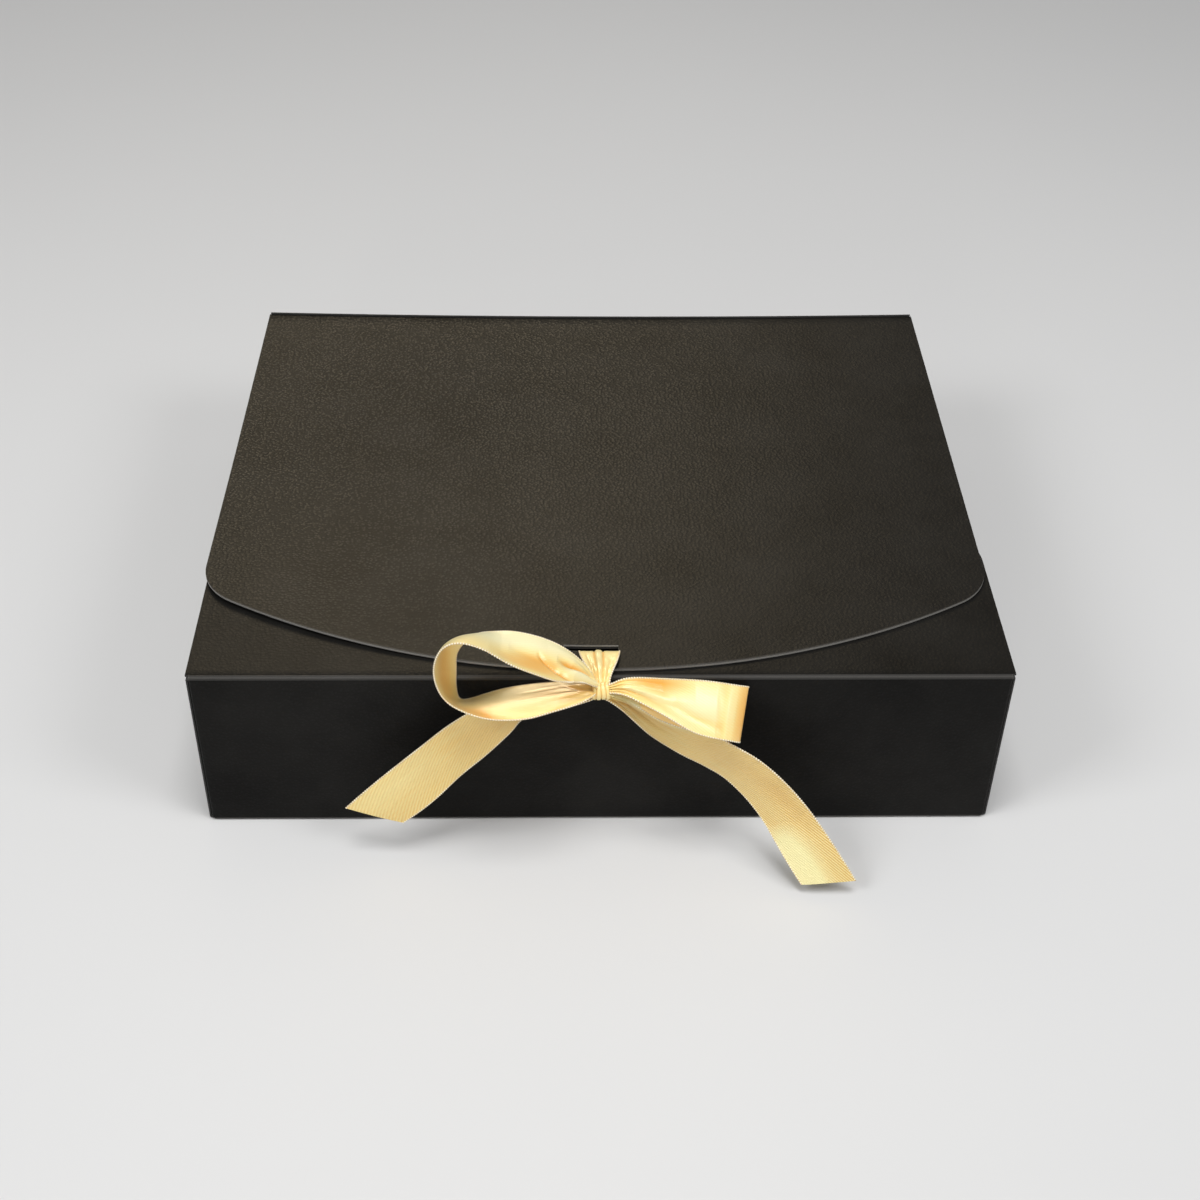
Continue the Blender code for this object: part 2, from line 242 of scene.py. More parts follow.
def add_node(tree, kind, inputs=None, **settings):
    node = tree.nodes.new("ShaderNode" + kind)
    for key, value in settings.items():
        setattr(node, key, value)
    set_inputs(tree, node, inputs or {})
    return node


def math_node(tree, operation, a, b=0.0):
    return add_node(tree, "Math", {0: a, 1: b}, operation=operation).outputs[0]


def times(tree, a, b):
    return math_node(tree, "MULTIPLY", a, b)


def remap(tree, value, low, high, to_low, to_high):
    node = add_node(
        tree, "MapRange",
        {"Value": value, "From Min": low, "From Max": high, "To Min": to_low, "To Max": to_high},
    )
    return node.outputs["Result"]


def mix_colour(tree, factor, a, b):
    return add_node(tree, "Mix", {0: factor, 6: a, 7: b}, data_type="RGBA").outputs[2]


def noise(tree, vector, scale, detail=2.0, roughness=0.5):
    inputs = {"Vector": vector, "Scale": scale, "Detail": detail, "Roughness": roughness}
    return add_node(tree, "TexNoise", inputs).outputs["Fac"]


def bump_normal(tree, height, strength, depth_mm):
    inputs = {"Height": height, "Strength": strength, "Distance": depth_mm * MM}
    return add_node(tree, "Bump", inputs).outputs["Normal"]


def rest_place(tree):
    """Each point's place at rest, in metres."""
    return add_node(tree, "TexCoord").outputs["Object"]


# --- Board materials ---
PEBBLE_PER_METRE = 760.0      # one pebble of the emboss is about 1.3 mm
GRAIN_PER_METRE = 5200.0
CLOUD_PER_METRE = 26.0
BOARD_BLACK = (0.0066, 0.0063, 0.0058, 1)
# Pale grey of rubbed coating and of random blotches; along edges, creases and the slot it is also
# a painted highlight.
BOARD_WORN_AND_LIT = (0.115, 0.110, 0.102, 1)
# The lid's cut edge is a paler grey than the box's: partly grey core, partly a painted highlight.
LIT_CORE_GREY = (0.36, 0.35, 0.33, 1)
INKED_CORE = (0.045, 0.044, 0.042, 1)
LINER_BLACK = (0.016, 0.0155, 0.015, 1)
# Crease strips are a paler grey than the board: partly crushed coating, partly a painted highlight
# along the fold.
CREASE_GREY = (0.040, 0.0385, 0.0365, 1)
BOARD_GLOSS = 0.06            # how strongly the coating mirrors
FLAP_GLOSS = 0.68 * BOARD_GLOSS
FIBRES_PER_METRE = 9000.0
LAYERS_PER_METRE = 1400.0
EMBOSS_CENTRE = (-0.080, 0.060, 0.077)      # where the emboss is deepest
EMBOSS_REACH = (0.03, 0.20)   # distances where it starts and stops fading


def board_material(name, colour, worn_and_lit, pebble_mm, roughness, coating=BOARD_GLOSS):
    """Coated black board with a pebble emboss; an attribute lightens edges and creases, partly as
    rubbed coating and partly as a painted highlight.
    """
    material, tree, shader = new_material(name)
    place = rest_place(tree)
    cell = add_node(
        tree, "TexVoronoi", {"Vector": place, "Scale": PEBBLE_PER_METRE, "Randomness": 0.9}
    ).outputs["Distance"]
    pebble = remap(tree, cell, 0.05, 0.7, 1.0, 0.0)
    grain = noise(tree, place, GRAIN_PER_METRE, 3.0)
    cloud = noise(tree, place, CLOUD_PER_METRE, 3.0, 0.6)
    away = add_node(
        tree, "VectorMath", {0: place, 1: EMBOSS_CENTRE}, operation="DISTANCE"
    ).outputs["Value"]
    deep = times(tree, pebble, remap(tree, away, *EMBOSS_REACH, 1.7, 0.5))
    height = math_node(tree, "ADD", deep, times(tree, grain, 0.35))
    normal = bump_normal(tree, height, 1.0, pebble_mm)
    dimmed = mix_colour(tree, remap(tree, cloud, 0.3, 0.7, 0.0, 0.06), colour, worn_and_lit)
    # The attribute paints the pale grey on edges, creases and the slot: partly rubbed coating,
    # partly a painted highlight.
    wear_and_highlight = add_node(tree, "Attribute", attribute_name="wear_and_highlight").outputs["Fac"]
    scuff_and_highlight = times(tree, wear_and_highlight, remap(tree, grain, 0.35, 0.6, 0.2, 1.0))
    colour = mix_colour(tree, scuff_and_highlight, dimmed, worn_and_lit)
    crown = remap(tree, cell, 0.15, 0.5, 1.0, 0.0)
    glint = remap(tree, away, *EMBOSS_REACH, 2.6, 0.3)
    polish = times(tree, math_node(tree, "SUBTRACT", crown, 0.14), glint)
    gloss = times(tree, math_node(tree, "ADD", polish, 1.0), coating)
    uneven = remap(tree, grain, 0.3, 0.7, roughness - 0.05, roughness + 0.06)
    set_inputs(tree, shader, {
        "Base Color": colour, "Specular IOR Level": gloss, "Roughness": uneven, "Normal": normal
    })
    return material


def core_material(name, pale):
    """The cut edge: grey pulp with short fibres and pressed layers."""
    material, tree, shader = new_material(name)
    dark = tuple(0.3 * part for part in pale[:3]) + (1,)
    place = rest_place(tree)
    fibres = noise(tree, place, FIBRES_PER_METRE, 4.0, 0.7)
    layers = add_node(
        tree, "TexWave", {"Vector": place, "Scale": LAYERS_PER_METRE, "Distortion": 3.0},
        bands_direction="Z",
    )
    shade = times(tree, fibres, remap(tree, layers.outputs["Fac"], 0, 1, 0.7, 1.0))
    colour = mix_colour(tree, remap(tree, shade, 0.2, 0.6, 0, 1), dark, pale)
    normal = bump_normal(tree, fibres, 0.6, 0.05)
    set_inputs(tree, shader, {"Base Color": colour, "Normal": normal, "Roughness": 0.85})
    return material


# --- Satin materials ---
TWILL_PITCH = 1.0 * MM
TWILL_ANGLE = math.radians(24)         # between a twill line and the band's length
YARN_PITCH = 0.28 * MM
STREAKS_ACROSS = 1500.0                # streaks are fine across the band, long along it
STREAKS_ALONG = 42.0
SELVEDGE_TWIST = 900.0                 # slant of the twisted edge yarn
SELVEDGE_FUZZ = 6000.0
# Deep for the gaps between beads as painted shade, pale for the bead tops as a painted highlight;
# both also follow the yarn's twist.
SELVEDGE_DEEP = (0.66, 0.46, 0.19, 1)
SELVEDGE_PALE = (1.0, 0.94, 0.76, 1)
SATIN_SHEEN = (1.0, 0.96, 0.74, 1)


def satin_material(name, colour, deep, pale, roughness, sheen, twill_mm, streak, lines):
    """Woven satin: anisotropic floats along the band, twill and lengthwise streaks, and painted
    shade and painted highlights from the fold attribute.
    """
    material, tree, shader = new_material(name)
    uv = add_node(tree, "UVMap", uv_map="metres").outputs["UV"]
    split = add_node(tree, "SeparateXYZ", {"Vector": uv})
    across, along = split.outputs["X"], split.outputs["Y"]
    squeezed = times(tree, across, STREAKS_ACROSS)
    drawn = times(tree, along, STREAKS_ALONG)
    stretched = add_node(tree, "CombineXYZ", {"X": squeezed, "Y": drawn}).outputs[0]
    streaks = noise(tree, stretched, 1.0, 4.0, 0.65)
    diagonal = math_node(
        tree, "SUBTRACT",
        times(tree, across, math.cos(TWILL_ANGLE)),
        times(tree, along, math.sin(TWILL_ANGLE)),
    )
    turn = 2 * math.pi
    twill = math_node(tree, "SINE", times(tree, diagonal, turn / TWILL_PITCH))
    yarn = math_node(tree, "SINE", times(tree, across, turn / YARN_PITCH))
    weave = math_node(tree, "ADD", twill, times(tree, yarn, 0.5))
    height = math_node(tree, "ADD", weave, times(tree, streaks, 3.0))
    normal = bump_normal(tree, height, 1.0, twill_mm)
    lengthwise = remap(tree, streaks, 0.3, 0.72, 0.0, streak)
    colour = mix_colour(tree, lengthwise, colour, pale)
    show = add_node(tree, "Attribute", attribute_name="weave").outputs["Fac"]
    groove = times(tree, remap(tree, twill, -1.0, 0.6, lines, 0.0), show)
    crest = times(tree, remap(tree, twill, 0.2, 1.0, 0.0, lines), show)
    colour = mix_colour(tree, groove, colour, deep)
    colour = mix_colour(tree, crest, colour, pale)
    # Painted light from the fold attribute: positive values paint shade in folds and pleat
    # valleys, negative ones paint highlights.
    fold = add_node(tree, "Attribute", attribute_name="fold").outputs["Fac"]
    colour = mix_colour(tree, remap(tree, fold, 0.0, -1.0, 0.0, 1.0), colour, pale)
    colour = mix_colour(tree, remap(tree, fold, 0.0, 1.0, 0.0, 1.0), colour, deep)
    tangent = add_node(tree, "Tangent", direction_type="UV_MAP", uv_map="metres").outputs[0]
    set_inputs(tree, shader, {
        "Base Color": colour, "Normal": normal, "Tangent": tangent, "Roughness": roughness,
        "Anisotropic": 0.45, "Specular IOR Level": 1.0, "Sheen Weight": sheen,
        "Sheen Roughness": 0.35, "Sheen Tint": SATIN_SHEEN,
    })
    return material


def selvedge_material():
    """Twisted edge yarn of the ribbon, paler than the satin, with a painted highlight on each
    bead's top and painted shade between beads.
    """
    material, tree, shader = new_material("selvedge_yarn")
    uv = add_node(tree, "UVMap", uv_map="metres").outputs["UV"]
    place = rest_place(tree)
    split = add_node(tree, "SeparateXYZ", {"Vector": uv})
    twist = math_node(
        tree, "ADD",
        times(tree, split.outputs["X"], SELVEDGE_TWIST),
        times(tree, split.outputs["Y"], 2 * math.pi / (PICOT_PITCH_MM * MM)),
    )
    ply = times(tree, math_node(tree, "COSINE", twist), -1.0)
    fuzz = noise(tree, place, SELVEDGE_FUZZ, 3.0)
    height = math_node(tree, "ADD", ply, fuzz)
    normal = bump_normal(tree, height, 0.7, 0.04)
    # Colour follows the twist: paler on each bead's top as a painted highlight, deeper in the gaps
    # as painted shade.
    colour = mix_colour(tree, remap(tree, ply, -1, 1, 0, 1), SELVEDGE_DEEP, SELVEDGE_PALE)
    set_inputs(tree, shader, {
        "Base Color": colour, "Normal": normal, "Roughness": 0.5, "Sheen Weight": 0.3
    })
    return material


def floor_material():
    """Pale matt floor with a faint, wide cloudiness."""
    material, tree, shader = new_material("pale_floor")
    place = rest_place(tree)
    cloud = noise(tree, place, 2.5, 2.0)
    colour = mix_colour(tree, cloud, (0.675, 0.675, 0.675, 1), (0.70, 0.70, 0.70, 1))
    set_inputs(
        tree, shader, {"Base Color": colour, "Specular IOR Level": 0.1, "Roughness": 0.7}
    )
    return material


SKIN = board_material("board_embossed", BOARD_BLACK, BOARD_WORN_AND_LIT, 0.11, 0.42)
FLAP_SKIN = board_material(
    "board_embossed_flap", BOARD_BLACK, BOARD_WORN_AND_LIT, 0.11, 0.42, FLAP_GLOSS
)
# The crease strips' paler grey is partly a painted highlight on the rounded crease.
CREASE = board_material("board_crease", CREASE_GREY, BOARD_WORN_AND_LIT, 0.012, 0.34)
LINER = board_material("board_liner", LINER_BLACK, BOARD_WORN_AND_LIT, 0.006, 0.58)
# This pale core, used only on the lid, is partly a painted highlight on its cut edge.
LIT_CORE = core_material("board_core_lit", LIT_CORE_GREY)
INKED = core_material("board_core_inked", INKED_CORE)
# The deep orange colours twill grooves and painted shade in folds; the pale gold colours streaks,
# twill crests and painted highlights. The reverse's deep and pale colours work the same way.
GOLD = (0.98, 0.76, 0.28, 1)
ORANGE_GROOVE_AND_SHADE = (0.90, 0.43, 0.06, 1)
PALE_GOLD_AND_HIGHLIGHT = (1.0, 0.915, 0.54, 1)
REVERSE_GOLD = (0.97, 0.665, 0.20, 1)
REVERSE_GROOVE_AND_SHADE = (0.74, 0.39, 0.06, 1)
REVERSE_PALE_AND_HIGHLIGHT = (1.0, 0.90, 0.44, 1)
SATIN = satin_material("gold_satin_face", GOLD, ORANGE_GROOVE_AND_SHADE, PALE_GOLD_AND_HIGHLIGHT, 0.28, 0.40, 0.008, 0.30, 0.08)
MATTE = satin_material(
    "gold_satin_reverse", REVERSE_GOLD, REVERSE_GROOVE_AND_SHADE, REVERSE_PALE_AND_HIGHLIGHT, 0.40, 0.30, 0.075, 0.45, 0.60
)
SELVEDGE = selvedge_material()
# Each sheet's outside, inside and cut edge.
LID_BOARD = (SKIN, LINER, LIT_CORE)
BOX_BOARD = (SKIN, LINER, INKED)
FLAP_BOARD = (FLAP_SKIN, LINER, INKED)
CREASE_BOARD = (CREASE, LINER, INKED)


# --- Shapes of the board ---
def spread(start, end, count, border=BORDER_MM):
    """Positions from start to end, with one more close to each end."""
    step = border if end > start else -border
    middle = np.linspace(start + step, end - step, count)
    return np.concatenate([[start], middle, [end]])


def arc_points(centre, radius, start_deg, end_deg, steps):
    angles = np.radians(np.linspace(start_deg, end_deg, steps + 1))
    return [(centre[0] + radius * math.cos(a), centre[1] + radius * math.sin(a)) for a in angles]


def back_lean(points):
    """The bow of the back crease, fading out towards the floor and the front."""
    middle = 1 - (points[..., 0] / HALF_WIDTH_MM) ** 2
    upward = np.clip(points[..., 2] / WALL_HIGH[2], 0, 1.1) ** 2
    backward = smoothstep(points[..., 1], FRONT_Y_MM / 2, BACK_Y_MM)
    moved = points.copy()
    moved[..., 1] -= BACK_BOW_MM * middle * upward * backward
    moved[..., 2] -= BACK_DIP_MM * middle * upward * backward
    return moved


def edge_wear_and_highlight(rows, columns, row_ends=True):
    """Full rubbing and painted highlight along the edges of a grid of points, none elsewhere."""
    wear_and_highlight = np.zeros((rows, columns))
    if row_ends:
        wear_and_highlight[[0, -1], :] = 1
    wear_and_highlight[:, [0, -1]] = 1
    return wear_and_highlight


def extrude_profile(profile, positions, place):
    """Sweep a profile (rows) along positions (columns); place makes the 3D point."""
    return np.array([[place(a, b, c) for c in positions] for a, b in profile], float)


def path_lengths(points):
    steps = np.linalg.norm(np.diff(points, axis=0), axis=-1)
    return np.concatenate([[0.0], np.cumsum(steps)])


def profile_uv(profile, positions):
    lengths = path_lengths(np.array(profile, float))
    return np.stack(np.meshgrid(positions, lengths, indexing="xy"), -1)


def board_piece(name, points, uv, wear_and_highlight, body, replaced=(), materials=BOX_BOARD, keep=None):
    """A sheet of board: points are its outside, and the thickness goes inwards."""
    mesh = grid_mesh(name, points, uv, keep)
    set_attribute(mesh, "wear_and_highlight", wear_and_highlight)
    edit_mesh(mesh, drop_loose)
    piece = add_piece(name, mesh, materials)
    thicken(piece, BOARD_MM, -1, 1, 2, EDGE_BEVEL_MM)
    if body:
        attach(piece, body)
    if replaced:
        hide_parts(*replaced)
    return piece


def wall_profile(depth_sign):
    """Plan of an end wall: a flat face whose two ends turn into the corner tabs."""
    half = TAB_HIGH[0]
    radius = BASE_CREASE_RADIUS_MM
    face = abs(FRONT_Y_MM)
    centre = (half - radius, face - radius)
    right = arc_points(centre, radius, 90, 0, 6) + [(half, centre[1] - 0.3)]
    flat = [(x, face) for x in np.linspace(-centre[0], centre[0], 40)]
    outline = [(-x, y) for x, y in reversed(right)] + flat[1:-1] + right
    return [(x, depth_sign * y) for x, y in outline]


def build_end_wall(name, sign, top):
    """The front (sign -1) or back wall; the back one leans with its crease."""
    heights = spread(top, BASE_CREASE_RADIUS_MM, 24)
    plan = wall_profile(sign)[::-sign]
    points = np.array([[(x, y, z) for x, y in plan] for z in heights])
    if sign > 0:
        points = back_lean(points)
    uv = np.stack(np.meshgrid(path_lengths(np.array(plan)), heights), -1)
    wear_and_highlight = np.zeros(points.shape[:2])
    board_piece(f"{name}_board", points, uv, wear_and_highlight, "box", (name,))


def crease_piece(name, profile, half, ridge, amount, body=None, order=1):
    """A crease's strip, half its length each way; the rows of its ridge are rubbed paler, partly
    as a painted highlight.
    """
    xs = spread(-half, half, CREASE_COLUMNS)[::order]
    points = extrude_profile(profile, xs, lambda y, z, x: (x, y, z))
    wear_and_highlight = edge_wear_and_highlight(*points.shape[:2], row_ends=False)
    wear_and_highlight[ridge] = np.maximum(wear_and_highlight[ridge], amount)
    return board_piece(
        name, points, profile_uv(profile, xs), wear_and_highlight, body, materials=CREASE_BOARD
    )


def build_base_crease(name, sign):
    """Fold between an end wall and the base."""
    radius = BASE_CREASE_RADIUS_MM
    face = abs(FRONT_Y_MM)
    profile = arc_points((face - radius, radius), radius, 0, -90, 8)
    profile = [(sign * y, z) for y, z in profile]
    half = BASE_HIGH[0] - BASE_CREASE_INSET_MM
    crease_piece(name, profile, half, slice(1, 4), BASE_CREASE_WEAR_AND_HIGHLIGHT, "box", -sign)


def side_profile():
    """Across one side: up the inner wall, over the rim, down the outer wall, under."""
    inner = INNER_LOW[0]
    outer = HALF_WIDTH_MM
    top = RIM_HIGH[2]
    radius = CREASE_RADIUS_MM
    foot = BASE_CREASE_RADIUS_MM
    profile = [(inner, 0.1), (inner, foot)]
    profile += [(inner, z) for z in np.linspace(foot + 1, top - radius - 0.5, 12)]
    profile += arc_points((inner + radius, top - radius), radius, 180, 90, 8)
    profile += arc_points((outer - radius, top - radius), radius, 90, 0, 8)
    profile += [(outer, z) for z in np.linspace(top - radius - 0.5, foot + 0.5, 12)]
    profile += arc_points((outer - foot, foot), foot, 0, -90, 6)
    return profile


def build_side(side, side_name):
    """A roll-over side; only its lock tabs reach down to the base."""
    reach = OUTER_HIGH[1]
    half_lock = LOCK_TAB_MM / 2
    lock_edges = [
        middle + end * half_lock for middle in (-LOCK_OFFSET_MM, LOCK_OFFSET_MM) for end in (-1, 1)
    ]
    ys = np.unique(np.concatenate([spread(-reach, reach, 30), lock_edges]))
    profile = side_profile()
    if side < 0:
        ys = ys[::-1]
    points = extrude_profile(profile, ys, lambda x, z, y: (side * x, y, z))
    middles = (ys[1:] + ys[:-1]) / 2
    keep = np.ones((len(profile) - 1, len(ys) - 1), bool)
    keep[0] = np.abs(np.abs(middles) - LOCK_OFFSET_MM) < half_lock
    wear_and_highlight = edge_wear_and_highlight(*points.shape[:2], row_ends=False)
    replaced = [f"{side_name}_{part}" for part in ("outer_wall", "rim", "inner_wall")]
    name = f"{side_name}_side_board"
    board_piece(name, points, profile_uv(profile, ys), wear_and_highlight, "box", replaced, keep=keep)


def curve_front(xs):
    """The lid's front edge: one long arc, with a small arc at each corner."""
    big = LID_CURVE_RADIUS_MM
    small = LID_CORNER_RADIUS_MM
    centre_y = LID_LOW[1] + big
    corner_x = HALF_WIDTH_MM - small
    corner_y = centre_y - math.sqrt((big - small) ** 2 - corner_x ** 2)
    meeting = math.atan2(corner_y - centre_y, corner_x)
    meeting_x = corner_x + small * math.cos(meeting)
    x = np.abs(xs)
    long_arc = centre_y - np.sqrt(big ** 2 - np.minimum(x, meeting_x) ** 2)
    short_arc = corner_y - np.sqrt(np.maximum(small ** 2 - (x - corner_x) ** 2, 0))
    return np.where(x < meeting_x, long_arc, short_arc)


def lid_columns():
    """X positions that close up towards the sides, where the edge turns back."""
    ease = np.sin(np.linspace(0, math.pi / 2, 16))
    start = HALF_WIDTH_MM - LID_CORNER_RADIUS_MM
    corner = start + (HALF_WIDTH_MM - start) * ease
    slot = SLOT_CENTRE_MM[0] + SLOT_HALF_MM[0] * np.linspace(-1, 1, 9)
    slot = np.concatenate([[slot[0] - BORDER_MM], slot, [slot[-1] + BORDER_MM]])
    left = np.linspace(-start, slot[0], 24)[:-1]
    right = np.linspace(slot[-1], start, 24)[1:]
    border = HALF_WIDTH_MM - RIM_BORDER_MM
    outside = np.unique(np.concatenate([corner[1:-1], [border, HALF_WIDTH_MM]]))
    return np.concatenate([-outside[::-1], left, slot, right, outside])


def lid_shape(points):
    """The skew, the raised corner and the slight ripple of the lid."""
    x, y = points[..., 0], points[..., 1]
    forward = (BACK_Y_MM - y) / (BACK_Y_MM - LID_LOW[1])
    corner = smoothstep(-x, HALF_WIDTH_MM * 0.2, HALF_WIDTH_MM) * smoothstep(-y, -20, 90)
    ripple = np.sin(x / RIPPLE_LENGTHS_MM[0] + 0.7) * np.sin(y / RIPPLE_LENGTHS_MM[1] + 0.4)
    ripple = ripple * np.clip(forward, 0, 1)
    moved = points.copy()
    moved[..., 0] -= LID_SKEW_MM * np.clip(forward, 0, 1)
    moved[..., 2] += CORNER_LIFT_MM * corner + LID_RIPPLE_MM * ripple
    return back_lean(moved)


SLOT_BACK_MM, SLOT_FRONT_MM = (SLOT_CENTRE_MM[1] + sign * SLOT_HALF_MM[1] for sign in (1, -1))


def sheet_points(xs, ys, height):
    """A flat sheet at one height, from the places of its columns and rows."""
    return np.stack([np.broadcast_to(xs, ys.shape), ys, np.full_like(ys, height)], -1)


def slot_open(xs, ys, slot_row):
    """Which faces of a sheet stay when the ribbon slot is cut out of one row."""
    middles = (xs[1:] + xs[:-1]) / 2
    keep = np.ones((len(ys) - 1, len(xs) - 1), bool)
    keep[slot_row] = np.abs(middles - SLOT_CENTRE_MM[0]) > SLOT_HALF_MM[0]
    return keep


def build_lid():
    """Straight rows behind, then rows that fan out to the curved front edge."""
    turn = LID_TURN_MM
    back_rows = np.linspace(BACK_Y_MM - CREASE_RADIUS_MM, turn, 24)[:-1]
    shares = [(turn - y) / (turn - LID_LOW[1]) for y in (SLOT_BACK_MM, SLOT_FRONT_MM)]
    border = BORDER_MM / (turn - LID_LOW[1])
    ends = (0.0, shares[0] - border, shares[0], shares[1], shares[1] + border, EDGE_SHARE, 1.0)
    counts = (14, 1, 1, 1, 2, 1)     # rows of faces between one end and the next
    pieces = [np.linspace(a, b, n + 1)[:-1] for a, b, n in zip(ends, ends[1:], counts)]
    fractions = np.concatenate(pieces + [[1.0]])
    xs = lid_columns()
    front = curve_front(xs)
    rows = [np.full_like(xs, y) for y in back_rows]
    rows += [turn + (front - turn) * share for share in fractions]
    ys = np.array(rows)
    points = sheet_points(xs, ys, LID_HIGH[2])
    slot_row = len(back_rows) + counts[0] + counts[1]
    keep = slot_open(xs, ys, slot_row)
    uv = points[..., :2]
    wear_and_highlight = edge_wear_and_highlight(*ys.shape)
    wear_and_highlight[0] = 0
    # The slot's edges are made paler: partly rubbed coating, partly a painted highlight on its
    # lip.
    wear_and_highlight[slot_row:slot_row + 2, ~np.append(keep[slot_row], True)] = SLOT_WEAR_AND_HIGHLIGHT
    board_piece("lid_board", lid_shape(points), uv, wear_and_highlight, "lid", ("lid_panel",), LID_BOARD, keep)


def blend_crease(piece):
    """Keep a crease's placement in its mesh."""
    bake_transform(piece)


def build_lid_crease():
    radius = CREASE_RADIUS_MM
    centre = (BACK_Y_MM - radius, LID_HIGH[2] - radius)
    profile = arc_points(centre, radius, 0, 90, 10)[::-1]
    half = HALF_WIDTH_MM - LID_CREASE_INSET_MM
    piece = crease_piece("lid_crease", profile, half, slice(3, 8), LID_CREASE_WEAR_AND_HIGHLIGHT)
    blend_crease(piece)
    reshape(piece, back_lean)


def reshape(piece, change):
    """Move the vertices of a finished piece by a function of their place in mm."""
    co = np.empty(len(piece.data.vertices) * 3, np.float32)
    piece.data.vertices.foreach_get("co", co)
    moved = change(co.reshape(-1, 3).astype(float) / MM) * MM
    piece.data.vertices.foreach_set("co", moved.astype(np.float32).ravel())
    piece.data.update()


def flap_back(xs):
    """The flap's free edge: straight, with a round corner at each end."""
    corner_x = HALF_WIDTH_MM - FLAP_CORNER_RADIUS_MM
    beyond = np.maximum(np.abs(xs) - corner_x, 0)
    rise = np.sqrt(np.maximum(FLAP_CORNER_RADIUS_MM ** 2 - beyond ** 2, 0))
    return FLAP_FREE_Y_MM - FLAP_CORNER_RADIUS_MM + rise


def build_flap():
    """Straight rows in front, then rows that fan out to the free edge's corners."""
    turn = FLAP_TURN_MM
    xs = lid_columns()
    before_slot = np.linspace(FRONT_Y_MM + FLAP_CREASE_RADIUS_MM, SLOT_FRONT_MM, 5)
    behind_slot = np.linspace(SLOT_BACK_MM, turn, 14)[:-1]
    far = flap_back(xs)
    shares = np.append(np.linspace(0, EDGE_SHARE, 10), 1.0)
    rows = [np.full_like(xs, y) for y in (*before_slot, *behind_slot)]
    rows += [turn + (far - turn) * share for share in shares]
    ys = np.array(rows)[::-1]
    points = sheet_points(xs, ys, FLAP_HIGH[2])
    slot_row = len(ys) - 1 - len(before_slot)
    keep = slot_open(xs, ys, slot_row)
    wear_and_highlight = edge_wear_and_highlight(*ys.shape)
    wear_and_highlight[-1] = 0
    board_piece(
        "flap_board", points, points[..., :2], wear_and_highlight, "flap", ("front_flap",), FLAP_BOARD, keep
    )


def build_flap_crease():
    radius = FLAP_CREASE_RADIUS_MM
    centre = (FRONT_Y_MM + radius, FLAP_HIGH[2] - radius)
    profile = arc_points(centre, radius, 90, 180, 10)
    half = HALF_WIDTH_MM - FLAP_CREASE_INSET_MM
    piece = crease_piece("flap_crease", profile, half, slice(4, 7), FLAP_CREASE_WEAR_AND_HIGHLIGHT)
    blend_crease(piece)


def dress_frame_nodes():
    """The base and the corner tabs keep their own solids."""
    tabs = [f"{end}_{side}_corner_tab" for end in ("front", "back") for side in ("left", "right")]
    for name in ("base_panel", *tabs):
        node = frame["nodes"][name]
        node.data.materials.clear()
        node.data.materials.append(LINER)


# --- Ribbon ---
# A station is the band's centre from the knot's centre, the direction across it
# and its gathered width there, all in mm.
STRAP = [
    ((0.0, 1.6, 1.6), (1, 0, 0), 6.2),
    ((0.0, 3.4, 3.2), (1, 0, 0), 6.4),
    ((0.0, 7.3, 3.9), (1, 0, 0), 9.2),
    ((-0.1, 13.3, 3.0), (1, 0, 0), 12.6),
    ((-0.2, 18.6, 2.1), (1, 0, 0), 15.0),
    ((-0.2, 20.9, 1.6), (1, 0, 0), 15.2),
    ((-0.2, 21.9, 0.2), (1, 0, 0), 15.2),
    ((-0.2, 21.9, -2.3), (1, 0, 0), 15.2),
]
LEFT_LOOP = [
    ((-2.2, 0.8, 2.0), (0, -0.95, 0.2), 4.4),
    ((-3.8, 0.7, 4.4), (0, -1, 0), 7.0),
    ((-6.8, 0.6, 8.2), (0, -1, 0), 10.5),
    ((-11.4, -0.7, 12.5), (0, -1, 0), 16.0),
    ((-16.8, -2.2, 16.5), (0, -1, 0), W),
    ((-23.4, -3.2, 20.7), (0, -1, 0), W),
    ((-31.8, -3.7, 24.5), (0, -1, 0.1), W),
    ((-39.8, -3.8, 27.5), (-0.05, -0.95, 0.35), W),
    ((-46.5, -4.0, 29.1), (-0.15, -0.85, 0.5), W),
    ((-51.6, -4.5, 27.5), (-0.2, -0.75, 0.6), W),
    ((-55.2, -4.7, 23.0), (-0.25, -0.7, 0.65), W),
    ((-56.6, -4.7, 15.5), (-0.35, -0.7, 0.65), W),
    ((-56.5, -4.7, 7.2), (-0.3, -0.7, 0.65), W),
    ((-54.5, -4.5, -0.2), (-0.2, -0.75, 0.65), W),
    ((-49.6, -4.2, -2.9), (-0.1, -0.85, 0.5), W),
    ((-42.8, -4.8, -2.8), (0, -0.95, 0.3), W),
    ((-35.3, -5.0, -1.7), (0, -1, 0.15), W),
    ((-26.5, -4.7, -0.6), (0, -1, 0.1), W),
    ((-17.7, -3.6, 0.5), (0, -1, 0.1), 17.5),
    ((-10.0, -2.4, 1.4), (0.05, -1, 0.1), 15.0),
    ((-4.6, -1.2, 1.5), (0.1, -1, 0.1), 10.0),
    ((-3.2, -0.9, 1.0), (0.1, -1, 0.1), 7.0),
    ((-2.2, -0.6, 0.4), (0, -0.95, 0.3), 5.0),
]
